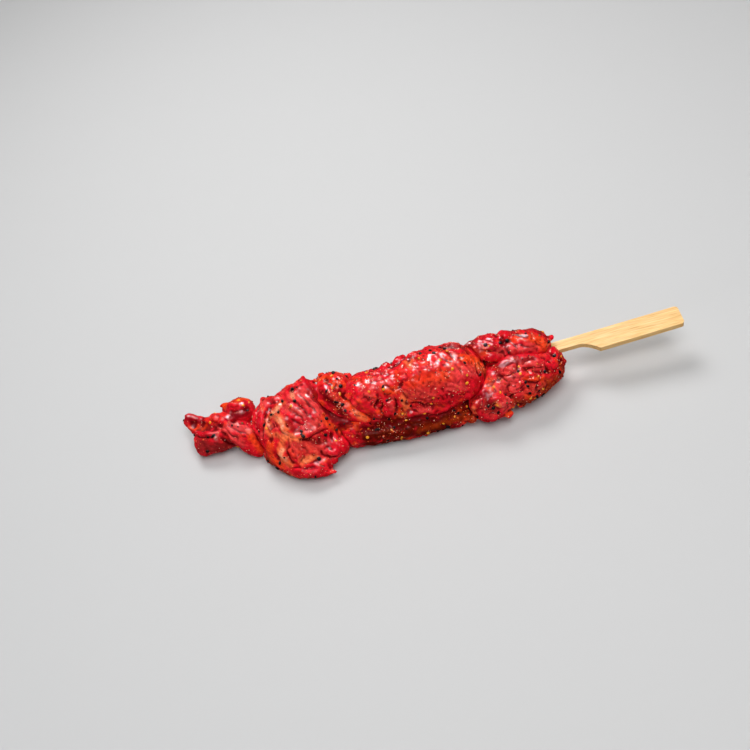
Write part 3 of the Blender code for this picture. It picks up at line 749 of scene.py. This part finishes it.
# Small lobes that stand out of a piece: the (x, y) over which they are seen, their radii in mm, and their long axis
EXTRAS = {
    "chip_piece": [((-99.3, 24), (2.4, 1.1, 1.1), (1, 0.1, 0))],
    "slab_piece": [
        ((-53, -26.6), (3.6, 1.3, 1.2), (0.95, -0.25, 0)),
        ((-50.8, -20.8), (2.4, 1.6, 1.6), (0.8, -0.5, 0)),
        ((-50, -17), (2.1, 1.5, 1.5), (0.9, -0.3, 0)),
        ((-38.3, -8.3), (3.6, 1.5, 1.2), (0.97, 0.2, 0)),
        ((-40.5, -6.3), (2.0, 1.0, 1.0), (0.7, 0.7, 0)),
        ((-59.6, 28), (2.4, 1.3, 1.3), (-0.1, 1, 0.2)),
        ((-65, 25.3), (2.4, 1.2, 1.2), (0.9, 0.4, 0)),
        ((-55, 26.3), (2.0, 1.2, 1.2), (1, 0.2, 0)),
    ],
    "strip_piece": [
        ((-53.6, 27.6), (2.0, 0.9, 0.9), (1, 0.4, 0)),
        ((-50.5, 29.3), (1.8, 1.0, 1.0), (1, 0.3, 0)),
        ((-33, 28), (2.2, 1.2, 1.2), (1, -0.8, 0)),
    ],
    "long_piece": [
        ((-19, 24.4), (3.4, 1.9, 1.8), (0.95, 0.3, 0)),
        ((-12, 26.6), (3.8, 2.3, 2.0), (0.8, 0.6, 0)),
        ((-5, 28.2), (3.4, 2.0, 1.9), (0.95, 0.3, 0)),
        ((14, 28.6), (4.2, 1.8, 1.8), (0.95, -0.25, 0)),
        ((27.6, 10.5), (2.6, 1.3, 1.5), (0.2, 0.9, 0)),
        ((14, -15.3), (2.8, 1.9, 1.8), (0.5, -0.8, 0)),
    ],
    "end_back_piece": [
        ((22.5, 27), (2.8, 1.2, 1.2), (0.9, 0.3, 0)),
        ((40, 25.5), (4.6, 3.6, 3.4), (1, 0, 0)),
        ((40.5, 18), (4.0, 3.0, 3.0), (1, -0.3, 0)),
        ((61, 20), (1.8, 1.6, 1.4), (1, 0, 0)),
        ((48, 27), (2.4, 1.2, 1.2), (1, -0.1, 0)),
    ],
    "end_front_piece": [
        ((60.3, 8.2), (2.8, 1.3, 1.3), (0.4, 0.9, 0.1)),
        ((29, -9), (4.6, 3.0, 2.6), (0.9, -0.3, 0)),
        ((33, -12), (3.6, 2.6, 2.4), (0.9, 0.4, 0)),
        ((19, -8), (3.6, 2.4, 2.2), (0.6, 0.7, 0)),
        ((63, 4.2), (1.9, 1.4, 1.3), (0.3, 0.9, 0)),
        ((15, -15.5), (2.2, 1.7, 1.6), (0.3, 0.9, 0)),
        ((31.5, -18), (2.4, 1.5, 1.3), (0.9, 0.4, 0)),
        ((38, -14.3), (2.4, 1.4, 1.3), (0.95, 0.2, 0)),
    ],
}


def neighbour_gap(skins):
    """Each skin's distance to the CAD solids of the other pieces, in mm."""
    solids = {name: node_arrays(name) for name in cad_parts}
    for name, skin in skins.items():
        co, faces = joined([solids[n] for n in solids if n != name])
        tree = BVHTree.FromPolygons(co.tolist(), faces.tolist())
        low, high = co.min(0), co.max(0)
        skin.gap = np.array(
            [tree.find_nearest(Vector(p), 4.0)[3] or 4.0 for p in skin.co]
        )


def shape_skin(skin, k):
    """Gives one piece its folds, lumps, strands and grit."""
    grain, fibre, lumps, cells, grit = MEAT[skin.name][:5]
    skin.relax(26)
    form = sculpt(skin, FORMS.get(skin.name, ()))
    bent = warped(skin.co, 1.6, 7.0, seed=40 + k)
    body = lumps * octaves(bent, 9.0, 3, seed=k, gain=0.6)
    net = ridged(noise(bent, 4.2, seed=50 + k), 0.22)
    body -= 0.9 * cells * net
    strands = stretched(warped(skin.co, 0.8, 5.0, seed=60 + k), grain, 3.2)
    patch = smoothstep(-0.25, 0.35, noise(skin.co, 9.0, seed=70 + k))
    body += fibre * (0.4 + 0.6 * patch) * (
        noise(strands, 2.1, seed=80 + k) + 0.55 * noise(strands, 1.3, seed=90 + k)
    )
    body -= 0.8 * fibre * patch * ridged(noise(strands, 3.0, seed=95 + k), 0.20)
    dashes = stretched(warped(skin.co, 0.7, 3.0, seed=65 + k), grain, 2.2)
    body += 0.15 * noise(dashes, 1.5, seed=66 + k)
    skin.spiced = smoothstep(-0.35, 0.45, noise(skin.co, 8.0, seed=100 + k))
    body += grit * (0.35 + 0.9 * skin.spiced) * (
        noise(skin.co, 1.7, seed=110 + k) + 0.4 * noise(skin.co, 1.1, seed=120 + k)
    )
    height = form + body
    room = np.maximum(0.0, 0.45 * (skin.gap - 0.12))
    height = np.minimum(height, room)
    skin.push(height)
    skin.co[:, 2] = np.maximum(skin.co[:, 2], FLOOR_CLEAR)
    skin.update()
    flat = skin.smooth(skin.co, 14)
    skin.cavity = ((skin.co - flat) * skin.normal).sum(1)
    broad = skin.smooth(skin.co, 70)
    skin.hollow = ((skin.co - broad) * skin.normal).sum(1)
    skin.strands = strands


def mix(base, colour, share):
    return base + (colour - base) * np.clip(share, 0, 1)[:, None]


def colour_skin(skin, k):
    """Each point's colour, linear, with painted shade in hollows, creases and undersides, and how wet it is."""
    pink_share, orange_share, gloss = MEAT[skin.name][5:]
    tree = skin.tree()
    colour = np.tile(CRIMSON, (len(skin.co), 1))
    broad = noise(skin.co, 7.5, seed=130 + k) + 0.5 * noise(skin.co, 3.0, seed=133 + k)
    colour = mix(colour, PINK, 0.8 * smoothstep(0.55 - pink_share, 1.3 - pink_share, broad))
    patch = noise(skin.co, 6.0, seed=150 + k) + 0.5 * noise(skin.co, 2.2, seed=153 + k)
    colour = mix(
        colour, ORANGE, 0.8 * smoothstep(0.6 - orange_share, 1.3 - orange_share, patch)
    )
    rough = noise(skin.co, 2.2, seed=11) + 0.5 * noise(skin.co, 0.9, seed=12)
    painted_shade_cover = np.zeros(len(skin.co))
    for paint, width, strength, points in PAINT.get(skin.name, ()):
        cover = painted(skin, tree, width, strength, points, rough)
        colour = mix(colour, paint, cover)
        # Where shade is painted, the coat and the pale streaks are taken away too
        if paint is BROWN_AND_SHADE or paint is PAINTED_SHADE:
            painted_shade_cover = np.maximum(painted_shade_cover, cover)
    streak = noise(skin.strands, 1.4, seed=140 + k) * (1 - painted_shade_cover)
    colour = colour * (1 + np.outer(0.40 * streak, (1.0, 1.8, 1.8)))
    grains = noise(skin.co, 1.0, seed=156 + k)
    colour = mix(colour, ORANGE, 0.5 * skin.spiced * orange_share * smoothstep(0.3, 0.8, grains))
    # Painted shade: darker in broad hollows and in fine creases
    colour = mix(colour, PAINTED_SHADE, 0.85 * smoothstep(0.0, -0.55, skin.hollow))
    colour = mix(colour, PAINTED_SHADE, 0.65 * smoothstep(-0.01, -0.13, skin.cavity))
    skin.colour = np.clip(colour, 0, 1)
    facing_up = smoothstep(-0.25, 0.45, skin.smooth(skin.normal[:, 2], 10))
    pools = noise(skin.co, 5.0, seed=160 + k) + 0.7 * noise(skin.strands, 2.2, seed=163 + k)
    pools = 0.30 + 0.70 * smoothstep(-0.30, 0.40, pools)
    skin.wetness = gloss * (0.2 + 0.8 * facing_up) * pools * (1 - painted_shade_cover)


# ---------------------------------------------------------------- materials


class Nodes:
    """Short calls for building a material's nodes."""

    def __init__(self, name):
        self.material = bpy.data.materials.new(name)
        self.material.use_nodes = True
        self.tree = self.material.node_tree
        self.shader = self.tree.nodes["Principled BSDF"]
        self.coordinates = self.tree.nodes.new("ShaderNodeTexCoord")

    def add(self, kind, **settings):
        node = self.tree.nodes.new("ShaderNode" + kind)
        for key, value in settings.items():
            setattr(node, key, value)
        return node

    def link(self, out, into):
        self.tree.links.new(out, into)

    def noise(self, size_mm, detail=2.0, longer=1.0, turn=0.0):
        """Noise in the object's own frame, with features about size_mm across, and longer times that along X turned by turn degrees."""
        mapping = self.add("Mapping", vector_type="TEXTURE")
        mapping.inputs["Rotation"].default_value = (0, 0, math.radians(turn))
        mapping.inputs["Scale"].default_value = (longer, 1, 1)
        self.link(self.coordinates.outputs["Object"], mapping.inputs["Vector"])
        made = self.add("TexNoise")
        made.inputs["Scale"].default_value = 1 / (size_mm * MM)
        made.inputs["Detail"].default_value = detail
        self.link(mapping.outputs["Vector"], made.inputs["Vector"])
        return made.outputs["Fac"]

    def remap(self, value, low, high, to_low, to_high):
        node = self.add("MapRange")
        for name, number in (
            ("From Min", low),
            ("From Max", high),
            ("To Min", to_low),
            ("To Max", to_high),
        ):
            node.inputs[name].default_value = number
        self.link(value, node.inputs["Value"])
        return node.outputs["Result"]

    def add_math(self, operation, value, number):
        node = self.add("Math", operation=operation)
        self.link(value, node.inputs[0])
        node.inputs[1].default_value = number
        return node.outputs["Value"]

    def ramp(self, value, stops):
        node = self.add("ValToRGB")
        while len(node.color_ramp.elements) < len(stops):
            node.color_ramp.elements.new(0.5)
        for element, (place, colour) in zip(node.color_ramp.elements, stops):
            element.position = place
            element.color = (*colour, 1)
        self.link(value, node.inputs["Fac"])
        return node.outputs["Color"]

    def blend(self, kind, share, first, second):
        node = self.add("MixRGB", blend_type=kind)
        for socket, value in zip(node.inputs, (share, first, second)):
            if isinstance(value, bpy.types.NodeSocket):
                self.link(value, socket)
            else:
                socket.default_value = value
        return node.outputs["Color"]

    def bump(self, height, distance_mm, strength=1.0, under=None):
        node = self.add("Bump")
        node.inputs["Strength"].default_value = strength
        node.inputs["Distance"].default_value = distance_mm * MM
        self.link(height, node.inputs["Height"])
        if under is not None:
            self.link(under, node.inputs["Normal"])
        return node.outputs["Normal"]

    def set(self, **values):
        for name, value in values.items():
            socket = self.shader.inputs[name.replace("_", " ")]
            if isinstance(value, bpy.types.NodeSocket):
                self.link(value, socket)
            else:
                socket.default_value = value


def meat_material():
    n = Nodes("marinated_beef")
    colour = n.add("Attribute", attribute_name="meat_colour").outputs["Color"]
    wet = n.add("Attribute", attribute_name="wetness").outputs["Fac"]
    tone = n.remap(n.noise(0.8, 2.0), 0.3, 0.7, 0.84, 1.14)
    shade = n.blend("MULTIPLY", 1.0, colour, tone)
    rough = n.remap(n.noise(1.3, 2.0), 0.35, 0.65, 0.26, 0.45)
    normal = n.bump(n.noise(0.8, 1.0), 0.10, 0.35)
    # The oil on top fills the finest relief, and only ripples
    relief = n.add("Attribute", attribute_name="relief_mm").outputs["Fac"]
    filled = n.bump(n.add_math("MULTIPLY", relief, -1.0), 1.0)
    film = n.bump(n.noise(1.7, 0.0, longer=1.8, turn=-50), 0.38, 1.0, filled)
    n.set(
        Base_Color=shade,
        Roughness=rough,
        Normal=normal,
        Subsurface_Weight=0.25,
        Subsurface_Scale=0.0014,
        Coat_Weight=wet,
        Coat_Roughness=0.05,
        Coat_IOR=1.45,
        Coat_Normal=film,
        IOR=1.38,
        Specular_IOR_Level=0.02,
    )
    n.shader.inputs["Subsurface Radius"].default_value = (1.0, 0.22, 0.14)
    return n.material


def bamboo_material():
    n = Nodes("bamboo")
    grain = n.noise(0.55, 4.0, longer=33)
    streak = n.noise(1.6, 2.0, longer=50)
    pale, straw, tan = (0.87, 0.58, 0.26), (0.81, 0.50, 0.18), (0.64, 0.33, 0.10)
    colour = n.ramp(grain, [(0.30, tan), (0.46, straw), (0.62, pale)])
    colour = n.blend(
        "MIX", n.remap(streak, 0.45, 0.62, 0.0, 0.35), colour, (*tan, 1)
    )
    n.set(
        Base_Color=colour,
        Roughness=n.remap(grain, 0.3, 0.7, 0.62, 0.46),
        Normal=n.bump(grain, 0.08, 0.5),
        Subsurface_Weight=0.05,
        Subsurface_Scale=0.001,
        Specular_IOR_Level=0.2,
    )
    return n.material


def speck_material(name, dark, light, roughness, coat):
    n = Nodes(name)
    colour = n.ramp(n.noise(0.8, 2.0), [(0.38, dark), (0.62, light)])
    n.set(
        Base_Color=colour,
        Roughness=roughness,
        Normal=n.bump(n.noise(0.2, 2.0), 0.05, 0.6),
        Coat_Weight=coat,
        Coat_Roughness=0.15,
        Specular_IOR_Level=0.1,
    )
    return n.material


def plain_material(name, colour, roughness):
    n = Nodes(name)
    n.set(Base_Color=(*colour, 1), Roughness=roughness)
    return n.material


# ---------------------------------------------------------------- spices


def chunk(rng, sides):
    """A speck about 1 across: an icosahedron, or that once divided; specks() roughens it."""
    g = (1 + 5**0.5) / 2
    co = [(-1, g, 0), (1, g, 0), (-1, -g, 0), (1, -g, 0)]
    co += [(0, -1, g), (0, 1, g), (0, -1, -g), (0, 1, -g)]
    co += [(g, 0, -1), (g, 0, 1), (-g, 0, -1), (-g, 0, 1)]
    faces = [(0, 11, 5), (0, 5, 1), (0, 1, 7), (0, 7, 10), (0, 10, 11)]
    faces += [(1, 5, 9), (5, 11, 4), (11, 10, 2), (10, 7, 6), (7, 1, 8)]
    faces += [(3, 9, 4), (3, 4, 2), (3, 2, 6), (3, 6, 8), (3, 8, 9)]
    faces += [(4, 9, 5), (2, 4, 11), (6, 2, 10), (8, 6, 7), (9, 8, 1)]
    co = np.array(co, float)
    co /= np.linalg.norm(co, axis=1)[:, None]
    for _ in range(sides):
        middle, more = {}, []
        co = list(map(tuple, co))

        def between(a, b):
            key = (min(a, b), max(a, b))
            if key not in middle:
                p = np.add(co[a], co[b])
                co.append(tuple(p / np.linalg.norm(p)))
                middle[key] = len(co) - 1
            return middle[key]

        for a, b, c in faces:
            ab, bc, ca = between(a, b), between(b, c), between(c, a)
            more += [(a, ab, ca), (b, bc, ab), (c, ca, bc), (ab, bc, ca)]
        faces, co = more, np.array(co)
    return co * 0.5, np.array(faces)


def specks(places, normals, sizes, flat, rough, rng, sides=0, sink=0.3):
    """One mesh of specks lying on the skin: sizes in mm from and to, flat the thickness as a share of the width, sink how much of it is pressed in."""
    base, faces = chunk(rng, sides)
    parts = []
    for place, up in zip(places, normals):
        size = rng.uniform(0, 1) ** 1.8 * (sizes[1] - sizes[0]) + sizes[0]
        turn = np.cross(up, rng.normal(size=3))
        turn /= np.linalg.norm(turn)
        across = np.cross(up, turn)
        shape = base * (1 + rough * rng.normal(size=base.shape))
        thick = size * flat
        lengths = (size * rng.uniform(0.85, 1.25), size * rng.uniform(0.65, 1.0), thick)
        co = (shape * lengths) @ np.array([turn, across, up])
        parts.append((co + place + up * thick * (0.5 - sink), faces))
    return joined(parts)


def scattered(skins, count, weigh, rng):
    """Places and normals picked at random over the skins, weigh giving each point's share."""
    places, normals, shares = [], [], []
    for skin in skins:
        size = np.linalg.norm(skin.face_normal, axis=1)
        places.append(skin.co[skin.quads].mean(1))
        normals.append(skin.face_normal / np.maximum(size, 1e-12)[:, None])
        shares.append(size * weigh(skin)[skin.quads].mean(1))
    places, normals = np.concatenate(places), np.concatenate(normals)
    shares = np.concatenate(shares)
    picked = rng.choice(len(places), size=count, replace=False, p=shares / shares.sum())
    return places[picked], normals[picked]


def set_down(skins, spots):
    """Places and normals of specks put where the photo shows them, as (x, y) on the board's plane."""
    places, normals = [], []
    for name, points in spots.items():
        skin = skins[name]
        tree = skin.tree()
        for point in points:
            place = Vector(laid(tree, [point])[0])
            places.append(np.array(place))
            normals.append(np.array(tree.find_nearest(place)[1]))
    return np.array(places), np.array(normals)


# ---------------------------------------------------------------- building


def shown(name, co, faces, material, replaces=None, smooth=True):
    mesh = new_mesh(name, to_frame(co), faces)
    if not smooth:
        mesh.polygons.foreach_set("use_smooth", np.zeros(len(faces), bool))
    mesh.materials.append(material)
    obj = bpy.data.objects.new(name, mesh)
    bpy.context.scene.collection.objects.link(obj)
    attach(obj, "root")
    if replaces:
        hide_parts(replaces)
    return obj


def make_meat():
    skins = {
        name: Skin(name, VOXEL, EXTRAS.get(name, ())) for name in MEAT
    }
    neighbour_gap(skins)
    material = meat_material()
    for k, (name, skin) in enumerate(skins.items()):
        shape_skin(skin, k)
        colour_skin(skin, k)
        obj = shown(
            name.replace("_piece", "_meat"),
            skin.co,
            skin.quads,
            material,
            replaces=name,
        )
        layer = obj.data.color_attributes.new("meat_colour", "FLOAT_COLOR", "POINT")
        rgba = np.ones((len(skin.co), 4), np.float32)
        rgba[:, :3] = skin.colour
        layer.data.foreach_set("color", rgba.ravel())
        for label, values in (("wetness", skin.wetness), ("relief_mm", skin.cavity)):
            layer = obj.data.attributes.new(label, "FLOAT", "POINT")
            layer.data.foreach_set("value", values.astype(np.float32))
    return skins


SPICY = {
    "tail_piece": 0.5,
    "chip_piece": 0.6,
    "slab_piece": 0.8,
    "strip_piece": 1.8,
    "long_piece": 1.0,
    "end_back_piece": 0.9,
    "end_front_piece": 1.1,
}


# Where single specks lie, as (x, y) on the board's plane
PEPPER = {
    "tail_piece": [(-115, 10.5), (-108.5, 7.5), (-106, 7.5), (-96.5, 11), (-109, -0.5)],
    "chip_piece": [(-88.5, 17.5)],
    "slab_piece": [
        (-81, 7), (-83.5, 4), (-73.5, 12.5), (-71, 18.5), (-65, 17), (-77, 12),
        (-63.5, -1.5), (-63, -4.5), (-80.5, -13.5), (-75, -16), (-76.5, -18.5),
        (-52.5, -6.5), (-57, -18.5), (-59.5, -27.5), (-51, 2.5), (-47, -5), (-65.5, 24.5),
    ],
    "strip_piece": [
        (-44.5, 28.5), (-38.5, 24.5), (-49, 18.5), (-42, 19.5), (-39, 18.5),
        (-45.5, 11), (-42.5, 8.5), (-41.5, 4.5), (-35.5, 9), (-31, -5.5),
    ],
    "long_piece": [
        (-29, -4), (-24, 25), (-22, 13.5), (-14.5, 3), (-21.5, 5), (-11, -1),
        (-19, -3.5), (-22, -5.5), (-5, -10), (-24.5, -17), (-20.5, -11), (-28, -10),
        (-1, 28), (4, 28.5), (5.5, 26.5), (9, 29), (11, 27.5), (18.5, 16.5),
        (24, 7.5), (24.5, -1.5), (8, -9), (9.5, -11), (3.5, -17), (-1.5, -18),
    ],
    "end_back_piece": [(30.5, 24), (40, 16.5), (41, 24), (37.5, 23.5), (59.5, 17.5)],
    "end_front_piece": [
        (43, -2.5), (43.5, -5), (32.5, -7), (43.5, -9), (46, -11.5), (49, -11),
        (48.5, -13.5), (59.5, -1), (23.5, -11), (25.5, -12.5), (27, -15.5), (17.5, -15.5),
        (41.5, 4.5), (53, 1), (60, 8.5), (13, -10.5),
    ],
}
SEEDS = {
    "tail_piece": [(-94.5, -3)],
    "chip_piece": [(-92.5, 25), (-87.5, 22.5)],
    "slab_piece": [(-67, 14.5), (-48, -11)],
    "strip_piece": [(-45.5, 27), (-43, 15), (-51.5, 26)],
    "long_piece": [
        (-28.5, 24), (-29, 12.5), (-22, 12), (-15.5, -4.5), (-14.5, -8.5), (-22, -12),
        (-18, -17), (-32.5, -8.5), (-33.5, -13), (-6, -18), (-2, 25.5), (7.5, 21.5),
        (12, 26), (18, 9), (17, 4.5), (0, 0.5), (-1.5, -2.5), (-5.5, -7), (7.5, -12.5),
        (14, -8.5),
    ],
    "end_front_piece": [(42, 3), (27.5, -11.5)],
}
HERBS = {"tail_piece": [(-91.5, 11)], "end_back_piece": [(56.5, 22.5)], "long_piece": [(27, 5.5)]}


def make_spices(skins):
    rng = np.random.RandomState(SEED + 1)
    all_skins = list(skins.values())

    def open_skin(skin):
        """Where a speck can lie: away from the floor and from the neighbours."""
        return (
            smoothstep(0.6, 2.0, skin.gap)
            * smoothstep(0.6, 3.0, skin.co[:, 2])
            * (0.55 + 0.45 * skin.normal[:, 2])
            * SPICY[skin.name]
        )

    def unseen(skin):
        """open_skin, but sparse on the side where the specks are set down one by one."""
        to_eye = EYE - skin.co
        to_eye /= np.linalg.norm(to_eye, axis=1)[:, None]
        facing = (skin.normal * to_eye).sum(1)
        return open_skin(skin) * (1 - 0.8 * smoothstep(-0.05, 0.35, facing))

    def spiced(skin):
        return open_skin(skin) * (0.15 + skin.spiced)

    pepper = speck_material("black_pepper", (0.002, 0.001, 0.002), (0.008, 0.005, 0.006), 0.6, 0.25)
    seed = speck_material("yellow_seed", (0.85, 0.26, 0.010), (0.95, 0.42, 0.03), 0.35, 0.5)
    flake = speck_material("chilli_flake", (0.50, 0.02, 0.005), (0.80, 0.12, 0.02), 0.3, 0.6)
    granule = speck_material("marinade_granule", (0.78, 0.07, 0.015), (0.90, 0.22, 0.06), 0.3, 0.6)
    # Pale granules, partly painted highlights that stand in for fine white glints
    pale = speck_material("pale_glint_granule", (0.88, 0.36, 0.20), (0.96, 0.66, 0.46), 0.3, 0.6)
    herb = speck_material("green_herb", (0.05, 0.06, 0.01), (0.16, 0.15, 0.04), 0.5, 0.3)

    def both(spots, count, weigh):
        first, second = set_down(skins, spots), scattered(all_skins, count, weigh, rng)
        return [np.concatenate(pair) for pair in zip(first, second)]

    kinds = [
        ("black_pepper_large", set_down(skins, PEPPER), (1.3, 2.1), 0.62, 0.10, 1, "black_pepper", pepper),
        ("black_pepper_fine", scattered(all_skins, 230, unseen, rng), (0.5, 1.2), 0.6, 0.14, 1, "black_pepper", pepper),
        ("yellow_seeds", both(SEEDS, 50, unseen), (1.1, 1.6), 0.5, 0.05, 1, "yellow_seed", seed),
        ("green_herb_bits", both(HERBS, 12, unseen), (0.7, 1.2), 0.3, 0.15, 0, "yellow_seed", herb),
        ("chilli_flakes", scattered(all_skins, 260, spiced, rng), (0.5, 1.3), 0.28, 0.16, 0, "chilli_flake", flake),
        ("marinade_granules", scattered(all_skins, 1500, spiced, rng), (0.25, 0.50), 0.7, 0.12, 0, "chilli_flake", granule),
        # Pale granules: partly marinade granules, partly painted highlights standing in for fine glints
        ("pale_glint_granules", scattered(all_skins, 650, spiced, rng), (0.30, 0.62), 0.7, 0.12, 0, "yellow_seed", pale),
    ]
    for name, (places, normals), sizes, flat, rough, sides, slot, material in kinds:
        co, faces = specks(places, normals, sizes, flat, rough, rng, sides)
        shown(name, co, faces, material)


def make_stage():
    floor = new_mesh(
        "floor",
        np.array([(-3, -3, 0), (3, -3, 0), (3, 3, 0), (-3, 3, 0)], float),
        np.array([(0, 1, 2, 3)]),
    )
    floor.materials.append(plain_material("floor", (0.53, 0.53, 0.53), 0.9))
    obj = bpy.data.objects.new("floor", floor)
    bpy.context.scene.collection.objects.link(obj)
    obj.visible_glossy = False


def area_light(name, place, aim, width, height, power, colour=(1, 1, 1)):
    data = bpy.data.lights.new(name, "AREA")
    data.shape = "RECTANGLE"
    data.size, data.size_y = width, height
    data.energy = power
    data.color = colour
    obj = bpy.data.objects.new(name, data)
    bpy.context.scene.collection.objects.link(obj)
    obj.location = place
    obj.rotation_euler = (
        (Vector(aim) - Vector(place)).to_track_quat("-Z", "Y").to_euler()
    )
    return obj


def make_light():
    scene = bpy.context.scene
    scene.view_settings.view_transform = "Standard"
    world = bpy.data.worlds.new("studio")
    scene.world = world
    world.use_nodes = True
    background = world.node_tree.nodes["Background"]
    background.inputs["Color"].default_value = (1, 1, 1, 1)
    background.inputs["Strength"].default_value = 0.07
    aim = (0, 0, 0.01)
    key = area_light("key", (-0.12, 0.42, 0.62), aim, 0.34, 0.30, 3.1)
    top = area_light("top", (0.08, -0.20, 0.80), aim, 0.60, 0.60, 6.0)
    key.visible_glossy = top.visible_glossy = False
    glints = (
        area_light("back_glint", (-0.03, 0.42, 0.64), aim, 0.44, 0.20, 12.0),
        area_light("top_glint", (0.10, 0.08, 0.80), aim, 0.26, 0.10, 3.4),
        area_light("front_glint", (-0.26, -0.24, 0.78), aim, 0.16, 0.10, 2.2),
    )
    for light in glints:
        light.visible_diffuse = False
    fill = area_light("fill", (-0.60, -0.45, 0.30), aim, 0.20, 0.20, 0.6, (0.86, 0.92, 1.0))
    fill.visible_glossy = False


def make_camera():
    azimuth, pitch, roll = map(
        math.radians, (CAMERA_AZIMUTH, CAMERA_PITCH, CAMERA_ROLL)
    )
    forward = Vector(
        (
            math.sin(azimuth) * math.cos(pitch),
            math.cos(azimuth) * math.cos(pitch),
            -math.sin(pitch),
        )
    )
    level = forward.cross(Vector((0, 0, 1))).normalized()
    upright = level.cross(forward)
    right = level * math.cos(roll) + upright * math.sin(roll)
    up = upright * math.cos(roll) - level * math.sin(roll)
    turn = Matrix((right, up, -forward)).transposed()
    data = bpy.data.cameras.new("camera")
    data.lens, data.sensor_width = CAMERA_LENS, CAMERA_SENSOR
    data.clip_start, data.clip_end = 0.01, 10
    obj = bpy.data.objects.new("camera", data)
    obj.matrix_world = Matrix.Translation(Vector(to_frame(EYE))) @ turn.to_4x4()
    bpy.context.scene.collection.objects.link(obj)
    bpy.context.scene.camera = obj


def make_stick():
    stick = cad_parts["bamboo_skewer"]
    stick.data.materials.clear()
    stick.data.materials.append(bamboo_material())


make_camera()
make_stage()
make_light()
make_stick()
meat_skins = make_meat()
make_spices(meat_skins)
